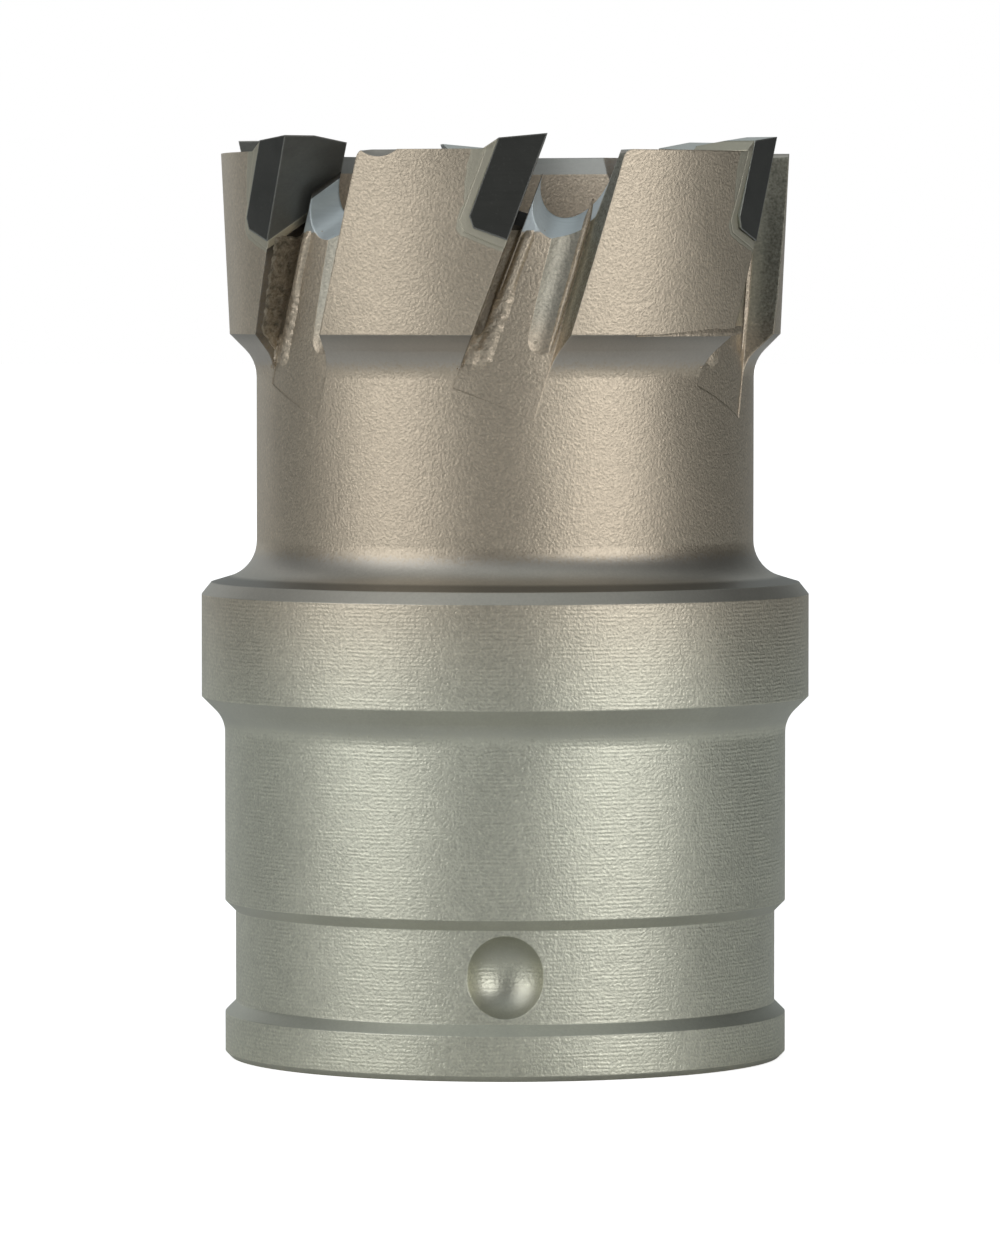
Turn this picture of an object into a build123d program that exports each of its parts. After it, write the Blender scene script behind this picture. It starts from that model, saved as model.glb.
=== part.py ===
from build123d import *
import os
from math import atan2, cos, radians, sin, sqrt, tan

# A carbide-tipped hole cutter for metal, standing on the end of its quick-change shank.
# The origin is on the axis at the shank's end face, +Z points to the teeth and -Y is the front.
# All lengths are in millimetres and all angles in degrees.

# Shank, from the end face up
shank_diameter = 21.74
end_chamfer = 0.22
end_ring_height = 1.72
groove_width = 4.35
groove_depth = 0.41
shank_land_length = 7.0
shoulder_slant = 45.0

# Locking dimples in the groove
dimple_count = 3
dimple_ball_diameter = 3.175
dimple_depth = 1.0
dimple_stretch = 0.19

# Flange
flange_overhang = 0.9
flange_land_length = 3.96
flange_chamfer_width = 0.37
flange_chamfer_height = 0.46
flange_top_slope = 16.7
flange_base_fillet = 1.2

# Neck and its fillets
neck_wall = 1.09
neck_length = 8.03
neck_base_fillet = 1.44
neck_top_fillet = 1.44

# Bores
slug_bore_depth = 17.0
slug_bore_floor_chamfer = 0.8
rim_band_height = 0.66
rim_band_width = 0.12
pilot_bore_diameter = 6.5
pilot_bore_chamfer = 0.5

# Cutting circle and the body behind it
cutting_diameter = 22.24
tooth_angles = (8.1, 69.0, 131.0, 193.5, 250.0, 311.6)
gullet_angles = (16.2, 17.0, 17.5, 16.5, 17.5, 18.2)
tip_stands_above_rim = 0.58
tip_stands_outside_crown = 0.13
tip_stands_inside_bore = 0.2
crown_height = 6.95
crown_back_taper = 2.7

# Carbide tips
tip_width = 2.82
tip_length = 4.36
tip_thickness = 1.65
tip_bevel = 0.3
tip_top_flat = 1.3
tip_inner_top_slope = 9.0
tip_top_relief = 5.3
tip_outer_relief = 8.0
tip_inner_relief = 1.5
tip_outer_taper = 1.5
axial_rake = 20.7
radial_rake = 8.4
gullet_floor_slope = 37.0

# Braze alloy round the tips, and the heel of it that rises from the rim behind each tip
braze_thickness = 0.3
pocket_corner_chamfer = 0.3
braze_heel_length = 0.45
braze_heel_height = 0.4

# Flutes and gullets in front of the tips
flute_floor_step = 0.03
flute_helix = 16.2
flute_run_out_below_crown = 3.2
flute_run_out_slope = 24.0
land_corner_radius = 0.4
slot_width = 0.35
slot_depth_below_tip = 0.45
slot_depth_in_floor = 0.2
slot_length = 8.2
slot_run_out = 2.8
gullet_width = 2.45
gullet_depth_below_tip = 0.35
channel_radius = 1.25
channel_depth = 0.16
channel_setback = 0.75
channel_end_below_crown = 0.85

# Dent worn into the outer edge of the rim, on the land left of the front
rim_dent_angle = 334.3
rim_dent_radius = 1.3
rim_dent_depth = 0.27

# Cutters reach this far past what they cut
clearance = 1.0


# Radii worked out from the sizes above
shank_radius = shank_diameter / 2
groove_radius = shank_radius - groove_depth
flange_radius = shank_radius + flange_overhang
cutting_radius = cutting_diameter / 2
tip_inner_offset = tip_width * cos(radians(radial_rake))
tip_inner_lead = tip_width * sin(radians(radial_rake))
tip_inner_radius = sqrt((cutting_radius - tip_inner_offset) ** 2 + tip_inner_lead**2)
slug_bore_radius = tip_inner_radius + tip_stands_inside_bore
neck_radius = slug_bore_radius + neck_wall
crown_rim_radius = cutting_radius - tip_stands_outside_crown
crown_root_radius = crown_rim_radius - crown_height * tan(radians(crown_back_taper))
flute_floor_radius = neck_radius - flute_floor_step

# Heights worked out from the sizes above
groove_wall_height = groove_depth / tan(radians(shoulder_slant))
groove_top = end_ring_height + groove_width
flange_corner = groove_top + shank_land_length
flange_bottom = flange_corner + flange_overhang / tan(radians(shoulder_slant))
flange_top = flange_bottom + flange_land_length
flange_slope_start = flange_top + flange_chamfer_height
flange_slope_run = flange_radius - flange_chamfer_width - neck_radius
neck_bottom = flange_slope_start + flange_slope_run * tan(radians(flange_top_slope))
neck_top = neck_bottom + neck_length
crown_bottom = neck_top + (crown_root_radius - neck_radius) / tan(radians(shoulder_slant))
rim_height = crown_bottom + crown_height
tooth_top = rim_height + tip_stands_above_rim
slug_bore_floor = rim_height - slug_bore_depth


def limited_fillet(radius, straight, turn):
    """Radius of a fillet at a corner of that turn, kept within the shorter straight beside it."""
    return min(radius, 0.8 * straight / tan(radians(turn / 2)))


def tooth_location(tooth_angle):
    """Turn from the +X axis to a tooth, whose angle is counted from the front at -Y."""
    return Location((0, 0, 0), (0, 0, tooth_angle - 90))


# Directions on a tooth that stands on the +X axis and cuts towards +Y
up = Vector(0, 0, 1)
rake_outward = Vector(cos(radians(radial_rake)), -sin(radians(radial_rake)), 0)
edge_up = Vector(0, sin(radians(axial_rake)), cos(radians(axial_rake)))
rake_back = rake_outward.cross(edge_up).normalized()
level_back = rake_outward.cross(up).normalized()

# The rake face: origin at the outer cutting corner, x outwards, y up the face, z into the tip
cutting_corner = Vector(cutting_radius, 0, tooth_top)
rake_plane = Plane(origin=cutting_corner, x_dir=rake_outward, z_dir=rake_back)
inner_corner = cutting_corner - rake_outward * tip_width
floor_inward = (
    rake_plane.y_dir * sin(radians(gullet_floor_slope)) - rake_outward * cos(radians(gullet_floor_slope))
)
gullet_axis = Axis(tuple(cutting_corner), tuple(floor_inward))
thickness_axis = Axis(tuple(cutting_corner), tuple(rake_back))


def floor_line(distance_below_tip, x):
    """Height on the rake plane, at x, of a line that far below the tip's slanted lower edge."""
    drop = distance_below_tip / cos(radians(gullet_floor_slope))
    return -tip_length - x * tan(radians(gullet_floor_slope)) - drop


def plane_through(origin, first_direction, second_direction, facing):
    """Plane that holds two directions at a point, with its normal on the side that is given."""
    normal = first_direction.cross(second_direction).normalized()
    if normal.dot(facing) < 0:
        normal = -normal
    return Plane(origin=origin, x_dir=first_direction, z_dir=normal)


# The turned body before its teeth are cut
with BuildPart() as turned_blank:
    with BuildSketch(Plane.XZ) as half_section:
        with BuildLine():
            Polyline(
                (0, 0),
                (shank_radius - end_chamfer, 0),
                (shank_radius, end_chamfer),
                (shank_radius, end_ring_height),
                (groove_radius, end_ring_height + groove_wall_height),
                (groove_radius, groove_top - groove_wall_height),
                (shank_radius, groove_top),
                (shank_radius, flange_corner),
                (flange_radius, flange_bottom),
                (flange_radius, flange_top),
                (flange_radius - flange_chamfer_width, flange_slope_start),
                (neck_radius, neck_bottom),
                (neck_radius, neck_top),
                (crown_root_radius, crown_bottom),
                (crown_rim_radius, rim_height),
                (0, rim_height),
                close=True,
            )
        make_face()
        slope_straight = flange_slope_run / cos(radians(flange_top_slope))
        flange_straight = flange_overhang / sin(radians(shoulder_slant))
        crown_straight = (crown_root_radius - neck_radius) / sin(radians(shoulder_slant))
        inner_corners = (
            (shank_radius, flange_corner, flange_base_fillet, flange_straight, shoulder_slant),
            (neck_radius, neck_bottom, neck_base_fillet, slope_straight, 90 - flange_top_slope),
            (neck_radius, neck_top, neck_top_fillet, crown_straight, shoulder_slant),
        )
        for corner_radius, corner_height, radius, straight, turn in inner_corners:
            corner = half_section.vertices().sort_by_distance((corner_radius, corner_height))[0]
            fillet(corner, limited_fillet(radius, straight, turn))
    revolve(axis=Axis.Z)

    # Slug bore with a chamfered floor, and the ground band at its mouth
    with BuildSketch(Plane.XZ):
        with BuildLine():
            Polyline(
                (0, slug_bore_floor),
                (slug_bore_radius - slug_bore_floor_chamfer, slug_bore_floor),
                (slug_bore_radius, slug_bore_floor + slug_bore_floor_chamfer),
                (slug_bore_radius, rim_height - rim_band_height),
                (slug_bore_radius + rim_band_width, rim_height),
                (slug_bore_radius + rim_band_width, rim_height + clearance),
                (0, rim_height + clearance),
                close=True,
            )
        make_face()
    revolve(axis=Axis.Z, mode=Mode.SUBTRACT)

    # Pilot bore through the shank, chamfered at both mouths
    with Locations((0, 0, slug_bore_floor)):
        Hole(pilot_bore_diameter / 2)
    pilot_mouths = turned_blank.edges().filter_by(
        lambda edge: edge.geom_type == GeomType.CIRCLE and abs(edge.radius - pilot_bore_diameter / 2) < 0.001
    )
    chamfer(pilot_mouths, pilot_bore_chamfer)

    # Ball dimples in the groove, a little taller than wide, one of them at the front
    dimple_height = end_ring_height + groove_width / 2
    dimple_centre_radius = groove_radius - dimple_depth + dimple_ball_diameter / 2
    with PolarLocations(dimple_centre_radius, dimple_count, start_angle=-90):
        with Locations((0, 0, dimple_height - dimple_stretch / 2), (0, 0, dimple_height + dimple_stretch / 2)):
            Sphere(dimple_ball_diameter / 2, mode=Mode.SUBTRACT)
        with Locations((0, 0, dimple_height)):
            Cylinder(dimple_ball_diameter / 2, dimple_stretch, mode=Mode.SUBTRACT)


def make_tip():
    """One carbide tip on the +X tooth: a slanted slab with ground relief on each outer face."""
    past_edge = clearance
    past_inner = -tip_width - clearance
    with BuildPart() as tip:
        with BuildSketch(rake_plane):
            with BuildLine():
                Polyline(
                    (past_edge, past_edge),
                    (past_inner, past_edge),
                    (past_inner, floor_line(0, past_inner)),
                    (past_edge, floor_line(0, past_edge)),
                    close=True,
                )
            make_face()
        extrude(amount=tip_thickness)
        chamfer(tip.edges().filter_by(gullet_axis).sort_by(thickness_axis)[-1], tip_bevel)
        for face_plane in tip_ground_faces():
            split(bisect_by=face_plane, keep=Keep.BOTTOM)
    return tip.part


def tip_ground_faces():
    """The four ground faces of a tip: flat top, sloped inner top, outer side and inner side."""
    top_back = level_back * cos(radians(tip_top_relief)) - up * sin(radians(tip_top_relief))
    flat_top = plane_through(cutting_corner, rake_outward, top_back, facing=up)
    slope_start = cutting_corner - rake_outward * tip_top_flat
    slope_inward = -rake_outward * cos(radians(tip_inner_top_slope)) - up * sin(radians(tip_inner_top_slope))
    sloped_top = plane_through(slope_start, slope_inward, top_back, facing=up)
    outer_edge_down = (
        -rake_plane.y_dir * cos(radians(tip_outer_taper)) - rake_outward * sin(radians(tip_outer_taper))
    )
    outer_back = Vector(-sin(radians(tip_outer_relief)), -cos(radians(tip_outer_relief)), 0)
    outer_side = plane_through(cutting_corner, outer_edge_down, outer_back, facing=rake_outward)
    inner_back = Vector(sin(radians(tip_inner_relief)), -cos(radians(tip_inner_relief)), 0)
    inner_side = plane_through(inner_corner, rake_plane.y_dir, inner_back, facing=-rake_outward)
    return flat_top, sloped_top, outer_side, inner_side


def make_pocket(start_in_front):
    """The milled seat of a tip: the tip's slab grown by the braze layer behind and below it."""
    past_edge = 2 * clearance
    past_inner = -tip_width - 2 * clearance
    with BuildPart() as pocket:
        with BuildSketch(rake_plane.offset(-start_in_front)):
            with BuildLine():
                Polyline(
                    (past_edge, past_edge),
                    (past_inner, past_edge),
                    (past_inner, floor_line(braze_thickness, past_inner)),
                    (past_edge, floor_line(braze_thickness, past_edge)),
                    close=True,
                )
            make_face()
        extrude(amount=tip_thickness + braze_thickness + start_in_front)
        chamfer(pocket.edges().filter_by(gullet_axis).sort_by(thickness_axis)[-1], pocket_corner_chamfer)
    return pocket.part


def make_heel():
    """The braze that climbs from the rim up the back face of a tip."""
    face_up = rake_plane.y_dir
    back_corner = cutting_corner + rake_back * tip_thickness
    foot = back_corner + face_up * ((rim_height - back_corner.Z) / face_up.Z)
    climb = face_up * (braze_heel_height / face_up.Z)
    with BuildPart() as heel:
        with BuildSketch(Plane(origin=foot, x_dir=level_back, z_dir=-rake_outward)):
            with BuildLine():
                Polyline(
                    (0, 0),
                    (braze_heel_length, 0),
                    (climb.dot(level_back), braze_heel_height),
                    close=True,
                )
            make_face()
        extrude(amount=tip_width + clearance, both=True)
        for top_plane in tip_ground_faces()[:2]:
            split(bisect_by=top_plane, keep=Keep.BOTTOM)
        with BuildSketch(Plane.XY.offset(rim_height)):
            Circle(crown_rim_radius)
        extrude(amount=tip_stands_above_rim, taper=crown_back_taper, mode=Mode.INTERSECT)
        with BuildSketch(Plane.XY.offset(rim_height)):
            Circle(slug_bore_radius + rim_band_width)
        extrude(amount=tip_stands_above_rim, mode=Mode.SUBTRACT)
    return heel.part


def make_flute(gullet_angle):
    """The milled flute: from the rake plane to a slanted wall, down to a floor along the neck."""
    flute_bottom = crown_bottom - flute_run_out_below_crown
    wall_outward = Vector(cos(radians(gullet_angle)), sin(radians(gullet_angle)), 0)
    wall_sideways = up.cross(wall_outward)
    wall_up = wall_sideways * sin(radians(flute_helix)) + up * cos(radians(flute_helix))
    wall_corner = wall_outward * crown_rim_radius + up * rim_height
    run_out_turn = radians(flute_run_out_slope)
    run_out_across = wall_sideways * cos(run_out_turn) - up * sin(run_out_turn)
    run_out_drift = wall_sideways * tan(radians(flute_helix)) * (flute_bottom - rim_height)
    run_out_corner = wall_outward * flute_floor_radius + up * flute_bottom + run_out_drift
    with BuildPart() as flute:
        with BuildSketch(Plane.XY.offset(flute_bottom)):
            Circle(cutting_radius + clearance)
            Circle(flute_floor_radius, mode=Mode.SUBTRACT)
        extrude(amount=rim_height + clearance - flute_bottom)
        split(bisect_by=rake_plane, keep=Keep.BOTTOM)
        split(bisect_by=plane_through(wall_corner, wall_outward, wall_up, wall_sideways), keep=Keep.BOTTOM)
        split(bisect_by=plane_through(run_out_corner, wall_outward, run_out_across, up), keep=Keep.TOP)
    return flute.part


def make_slot():
    """The narrow clearance slot in front of the rake face, which runs on down the flute's corner."""
    past_edge = clearance
    past_inner = -tip_width - clearance
    floor_x = (flute_floor_radius - slot_depth_in_floor - cutting_radius) / cos(radians(radial_rake))
    with BuildPart() as slot:
        with BuildSketch(rake_plane):
            with BuildLine():
                Polyline(
                    (past_edge, past_edge),
                    (past_inner, past_edge),
                    (past_inner, floor_line(slot_depth_below_tip, past_inner)),
                    (floor_x, floor_line(slot_depth_below_tip, floor_x)),
                    (floor_x, -slot_length + slot_run_out),
                    (floor_x + slot_depth_in_floor * 2, -slot_length),
                    (past_edge, -slot_length),
                    close=True,
                )
            make_face()
        extrude(amount=-slot_width)
    return slot.part


def make_gullet():
    """The ground gullet through the wall: a round-bottomed slot beside the rake plane."""
    gullet_plane = Plane(origin=cutting_corner, x_dir=-rake_back, z_dir=-floor_inward)
    gullet_radius = gullet_width / 2
    lower_edge_depth = tip_length * cos(radians(gullet_floor_slope))
    bottom = -lower_edge_depth - gullet_depth_below_tip
    across = slot_width + gullet_radius
    wall_reach = 2 * tip_width + clearance
    with BuildPart() as gullet:
        with BuildSketch(gullet_plane):
            with Locations((across, bottom + gullet_radius)):
                Circle(gullet_radius)
            with Locations((across, bottom + gullet_radius)):
                Rectangle(gullet_width, tip_length + clearance, align=(Align.CENTER, Align.MIN))
        extrude(amount=wall_reach, both=True)
    return gullet.part


def make_channel(gullet_angle):
    """The shallow, round-nosed channel ground into the flute's floor beside its slanted wall."""
    half_width = sqrt(channel_radius**2 - (channel_radius - channel_depth) ** 2)
    bottom_height = crown_bottom - channel_end_below_crown + half_width
    middle_height = (bottom_height + rim_height) / 2
    wall_drift = (rim_height - middle_height) * tan(radians(flute_helix))
    turn = radians(gullet_angle) - (wall_drift + channel_setback) / flute_floor_radius
    outward = Vector(cos(turn), sin(turn), 0)
    sideways = up.cross(outward)
    along = sideways * sin(radians(flute_helix)) + up * cos(radians(flute_helix))
    middle = outward * flute_floor_radius + up * middle_height
    half_length = (middle_height - bottom_height) / cos(radians(flute_helix))
    lower_end = middle - along * half_length
    section = Plane(origin=lower_end, x_dir=outward.cross(along), z_dir=along)
    arc_centre = Vector(0, channel_radius - channel_depth)
    half_turn = radians(45) - atan2(arc_centre.Y, half_width) / 2
    half_arc_middle = arc_centre + Vector(sin(half_turn), -cos(half_turn)) * channel_radius
    with BuildPart() as channel:
        with BuildSketch(section):
            with BuildLine():
                ThreePointArc((-half_width, 0), (0, -channel_depth), (half_width, 0))
                Polyline((half_width, 0), (half_width, clearance), (-half_width, clearance), (-half_width, 0))
            make_face()
        extrude(amount=2 * half_length)
        with BuildSketch(section):
            with BuildLine():
                ThreePointArc((0, -channel_depth), half_arc_middle, (half_width, 0))
                Polyline((half_width, 0), (half_width, clearance), (0, clearance), (0, -channel_depth))
            make_face()
        revolve(axis=Axis(tuple(lower_end), tuple(outward)))
    return channel.part


def make_land_corner(gullet_angle):
    """The rounding of a land's leading corner, where the flute's wall meets the rim."""
    wall_outward = Vector(cos(radians(gullet_angle)), sin(radians(gullet_angle)), 0)
    start = wall_outward * (slug_bore_radius - clearance) + up * rim_height
    tangent_length = land_corner_radius / tan(radians((90 + flute_helix) / 2))
    rim_tangent = Vector(tangent_length, 0)
    wall_tangent = Vector(-sin(radians(flute_helix)), -cos(radians(flute_helix))) * tangent_length
    centre = Vector(tangent_length, -land_corner_radius)
    arc_middle = centre - centre.normalized() * land_corner_radius
    past_wall = -tangent_length - clearance
    with BuildPart() as land_corner:
        with BuildSketch(Plane(origin=start, x_dir=up.cross(wall_outward), z_dir=wall_outward)):
            with BuildLine():
                ThreePointArc(wall_tangent, arc_middle, rim_tangent)
                Polyline(
                    rim_tangent,
                    (tangent_length, clearance),
                    (past_wall, clearance),
                    (past_wall, wall_tangent.Y),
                    wall_tangent,
                )
            make_face()
        extrude(amount=cutting_radius - slug_bore_radius + 2 * clearance)
    return land_corner.part


# The finished body, with its teeth cut
tip = make_tip()
pocket = make_pocket(start_in_front=slot_width / 2)
slot = make_slot()
gullet = make_gullet()

with BuildPart() as cutter_body:
    add(turned_blank.part)
    for tooth_angle, gullet_angle in zip(tooth_angles, gullet_angles):
        flute = make_flute(gullet_angle)
        land_corner = make_land_corner(gullet_angle)
        channel = make_channel(gullet_angle)
        with Locations(tooth_location(tooth_angle)):
            add(flute, mode=Mode.SUBTRACT)
            add(land_corner, mode=Mode.SUBTRACT)
            add(channel, mode=Mode.SUBTRACT)
            add(gullet, mode=Mode.SUBTRACT)
            add(slot, mode=Mode.SUBTRACT)
            add(pocket, mode=Mode.SUBTRACT)
    with Locations(tooth_location(rim_dent_angle)):
        with Locations((crown_rim_radius, 0, rim_height + rim_dent_radius - rim_dent_depth)):
            Sphere(rim_dent_radius, mode=Mode.SUBTRACT)

# Six carbide tips and their braze seams
tips = []
seams = []
seam_pocket = make_pocket(start_in_front=0)
heel = make_heel()
for number, tooth_angle in enumerate(tooth_angles, start=1):
    with BuildPart() as carbide_tip:
        with Locations(tooth_location(tooth_angle)):
            add(tip)
    carbide_tip.part.label = f"carbide_tip_{number}"
    tips.append(carbide_tip)

    with BuildPart() as braze_seam:
        with Locations(tooth_location(tooth_angle)):
            add(seam_pocket)
        add(turned_blank.part, mode=Mode.INTERSECT)
        with Locations(tooth_location(tooth_angle)):
            add(heel)
        add(carbide_tip.part, mode=Mode.SUBTRACT)
    braze_seam.part.label = f"braze_seam_{number}"
    seams.append(braze_seam)

os.makedirs("parts", exist_ok=True)

cutter_body.part.label = "cutter_body"
export_step(cutter_body.part, "parts/cutter_body.step")
for piece in tips + seams:
    export_step(piece.part, f"parts/{piece.part.label}.step")
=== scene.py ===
from math import acos, asin, atan2, cos, hypot, pi, radians, sin, tan

import bpy
from bpy.props import FloatProperty, FloatVectorProperty, PointerProperty
from mathutils import Euler, Matrix, Vector, noise


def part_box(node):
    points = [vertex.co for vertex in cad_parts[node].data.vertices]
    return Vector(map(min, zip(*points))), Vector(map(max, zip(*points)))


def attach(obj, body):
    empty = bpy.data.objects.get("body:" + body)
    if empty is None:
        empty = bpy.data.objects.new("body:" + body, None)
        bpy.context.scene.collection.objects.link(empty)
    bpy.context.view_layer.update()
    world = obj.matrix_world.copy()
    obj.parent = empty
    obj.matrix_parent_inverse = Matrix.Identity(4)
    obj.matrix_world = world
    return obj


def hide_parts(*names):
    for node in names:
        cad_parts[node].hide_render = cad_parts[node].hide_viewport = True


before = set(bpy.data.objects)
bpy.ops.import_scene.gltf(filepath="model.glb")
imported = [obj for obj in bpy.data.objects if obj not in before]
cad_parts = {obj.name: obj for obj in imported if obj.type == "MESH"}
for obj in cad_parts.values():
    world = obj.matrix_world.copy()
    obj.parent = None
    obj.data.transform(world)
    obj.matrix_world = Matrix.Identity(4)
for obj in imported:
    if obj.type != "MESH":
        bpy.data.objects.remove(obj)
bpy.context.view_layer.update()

bl_info = {
    "name": "Hole Cutter Finish",
    "version": (1, 0, 0),
    "blender": (4, 5, 0),
    "location": "3D View > Sidebar > Hole Cutter",
    "description": "Dresses a carbide-tipped hole cutter in its blasted, turned and ground finishes",
    "category": "Object",
}

BODY = "root"
BODY_NODE = "cutter_body"
TOOTH_COUNT = 6
TIP_NODES = [f"carbide_tip_{number}" for number in range(1, TOOTH_COUNT + 1)]
SEAM_NODES = [f"braze_seam_{number}" for number in range(1, TOOTH_COUNT + 1)]

# Angles ground on every tooth, in degrees
AXIAL_RAKE = 20.7
RADIAL_RAKE = 8.4
LOWER_EDGE_SLOPE = 37.0
FLUTE_HELIX = 16.2

# Edges of laid metal bent less than this look smooth, in degrees
SHEET_SMOOTH_ANGLE = 80

# Turn from each tooth to the top of the flute's slanted wall, in degrees
GULLET_ANGLES = (16.2, 17.0, 17.5, 16.5, 17.5, 18.2)

# Lengths on the crown, in metres
TIP_LENGTH = 0.00436
TIP_THICKNESS = 0.00165
BRAZE_THICKNESS = 0.0003
SLOT_WIDTH = 0.00035
GULLET_RADIUS = 0.001225
GULLET_BELOW_TIP = 0.00035
FLOOR_RADIUS = 0.00960
BORE_RADIUS = 0.00854
LAND_RADIUS = 0.01066
BAND_HEIGHT = 0.00066
CROWN_HEIGHT = 0.00695

# How high the torn strips reach above the part's foot, and how far the cuts run out below the crown
STRIP_TOP = 0.0319
RUN_OUT = 0.0009


def cutting_corner(node):
    """The corner of a tip that stands farthest from the axis."""
    corners = [vertex.co.copy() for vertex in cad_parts[node].data.vertices]
    return max(corners, key=lambda corner: hypot(corner.x, corner.y))


CORNERS = [cutting_corner(node) for node in TIP_NODES]
TOOTH_TURNS = [atan2(corner.y, corner.x) for corner in CORNERS]
CUTTING_RADIUS = hypot(CORNERS[0].x, CORNERS[0].y)
TOOTH_TOP = CORNERS[0].z
RIM_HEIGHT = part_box(BODY_NODE)[1].z
CROWN_BOTTOM = RIM_HEIGHT - CROWN_HEIGHT

# Directions on a tooth that stands on the +X axis and cuts towards +Y
OUTWARD = Vector((cos(radians(RADIAL_RAKE)), -sin(radians(RADIAL_RAKE)), 0))
EDGE_UP = Vector((0, sin(radians(AXIAL_RAKE)), cos(radians(AXIAL_RAKE))))
BACK = OUTWARD.cross(EDGE_UP).normalized()
UP_FACE = BACK.cross(OUTWARD).normalized()
INWARD_UP = UP_FACE * sin(radians(LOWER_EDGE_SLOPE)) - OUTWARD * cos(radians(LOWER_EDGE_SLOPE))
CORNER = Vector((CUTTING_RADIUS, 0, TOOTH_TOP))


def length_setting(name, description, default):
    """A size or place, in metres."""
    return FloatProperty(name=name, description=description, default=default, precision=6, unit="LENGTH")


def angle_setting(name, description, degrees):
    """An angle, given in degrees and kept in radians."""
    return FloatProperty(name=name, description=description, default=radians(degrees), subtype="ANGLE")


def power_setting(name, description, default):
    """A lamp's power, in watts."""
    return FloatProperty(name=name, description=description, default=default, min=0.0, unit="POWER")


def level_setting(name, description, default):
    """A strength of light that has no unit."""
    return FloatProperty(name=name, description=description, default=default, min=0.0)


def colour_setting(name, description, default):
    """The colour of a finish."""
    return FloatVectorProperty(name=name, description=description, default=default, subtype="COLOR")


class StageSettings(bpy.types.PropertyGroup):
    """Camera, lamps and floor."""

    camera_distance: length_setting("Camera Distance", "From the axis to the camera", 0.2946)
    camera_height: length_setting("Camera Height", "Above the floor", 0.0294)
    camera_side: length_setting("Camera Side", "Camera's step to the right", -0.0002)
    camera_pitch: angle_setting("Camera Pitch", "Turn down from level", 2.44)
    camera_lens: FloatProperty(
        name="Lens", description="Focal length on a 36 mm high sensor", default=220.3, unit="CAMERA"
    )
    floor_size: length_setting("Floor Size", "Side of the square floor", 6.0)
    softbox_distance: length_setting("Softbox Distance", "From the axis to each softbox", 0.35)
    softbox_width: length_setting("Softbox Width", "Level side of the left and right softboxes", 0.28)
    left_bottom: length_setting("Left Bottom", "Height of the left softbox's lower edge", -0.15)
    left_top: length_setting("Left Top", "Height of the left softbox's upper edge", 0.50)
    left_turn: angle_setting("Left Turn", "Left softbox's turn from the front", -54)
    left_power: power_setting("Left Power", "Power of the softbox at the front left", 0.91)
    right_bottom: length_setting("Right Bottom", "Height of the right softbox's lower edge", -0.15)
    right_top: length_setting("Right Top", "Height of the right softbox's upper edge", 0.20)
    right_turn: angle_setting("Right Turn", "Right softbox's turn from the front", 45.5)
    right_power: power_setting("Right Power", "Power of the softbox at the front right", 0.66)
    rear_width: length_setting("Rear Width", "Level side of the rear softbox", 0.112)
    rear_turn: angle_setting("Rear Turn", "Rear softbox's turn from the front", -145)
    rear_power: power_setting("Rear Power", "Power of the softbox behind the left side", 0.08)
    room_level: level_setting("Room Level", "Strength of the plain room light", 0.12)
    overhead_level: level_setting("Overhead Level", "Strength that the room light gains overhead", 0.50)


class FinishSettings(bpy.types.PropertyGroup):
    """Colours and grain of the finishes."""

    warm_steel: colour_setting("Warm Steel", "Plated crown and neck", (0.59, 0.505, 0.395))
    grey_steel: colour_setting("Grey Steel", "Plated shank and flange", (0.67, 0.665, 0.555))
    # Slanted faces are smooth plating, and their colours are darker as painted shade
    smooth_shaded_steel: colour_setting("Smooth Steel", "Fillets and chamfers", (0.55, 0.55, 0.48))
    shaded_steel: colour_setting("Shaded Steel", "Slope under the crown", (0.52, 0.49, 0.45))
    ground_steel: colour_setting("Ground Steel", "Ground gullets", (0.66, 0.72, 0.74))
    band_steel: colour_setting("Band Steel", "Ground band inside the rim", (0.38, 0.39, 0.37))
    bore_steel: colour_setting("Bore Steel", "Blasted bore", (0.52, 0.45, 0.36))
    wall_steel: colour_setting("Wall Steel", "Slanted walls of the flutes", (0.52, 0.50, 0.41))
    channel_steel: colour_setting("Channel Steel", "Channels beside those walls", (0.52, 0.49, 0.41))
    carbide: colour_setting("Carbide", "Ground carbide", (0.049, 0.049, 0.044))
    # The rake face's lighter colour is partly carbide's own grey and partly a painted reflection of its
    # polished face
    carbide_rake_reflection: colour_setting("Carbide Rake", "Polished rake face of a tip", (0.135, 0.135, 0.122))
    carbide_top: colour_setting("Carbide Top", "Ground top of a tip", (0.62, 0.64, 0.60))
    carbide_side: colour_setting("Carbide Side", "Brazed sides of a tip", (0.42, 0.44, 0.40))
    braze: colour_setting("Braze", "Braze alloy and the wiped zone beside it", (0.60, 0.56, 0.45))
    grain_size: length_setting("Grain Size", "Size of one blasting mark", 0.0001)
    ring_pitch: length_setting("Ring Pitch", "Height of one turning mark", 0.00015)
    edge_radius: length_setting("Edge Radius", "How far edges are rounded", 0.00009)


def rgba(colour):
    """A colour property as the four numbers of a socket."""
    return (colour[0], colour[1], colour[2], 1.0)


def fill_socket(tree, socket, value):
    """Links a socket or sets its value."""
    if isinstance(value, bpy.types.NodeSocket):
        tree.links.new(value, socket)
    else:
        socket.default_value = value


def add_node(tree, kind, inputs=None, **settings):
    """Adds a node, sets its options and fills or links its inputs."""
    node = tree.nodes.new(kind)
    for name, value in settings.items():
        setattr(node, name, value)
    for name, value in (inputs or {}).items():
        fill_socket(tree, node.inputs[name], value)
    return node


def maths(tree, operation, *values, clamp=False):
    """A Math node's result."""
    inputs = dict(enumerate(values))
    return add_node(tree, "ShaderNodeMath", inputs, operation=operation, use_clamp=clamp).outputs[0]


def product(tree, *values):
    """All the values multiplied."""
    result = values[0]
    for value in values[1:]:
        result = maths(tree, "MULTIPLY", result, value)
    return result


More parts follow.
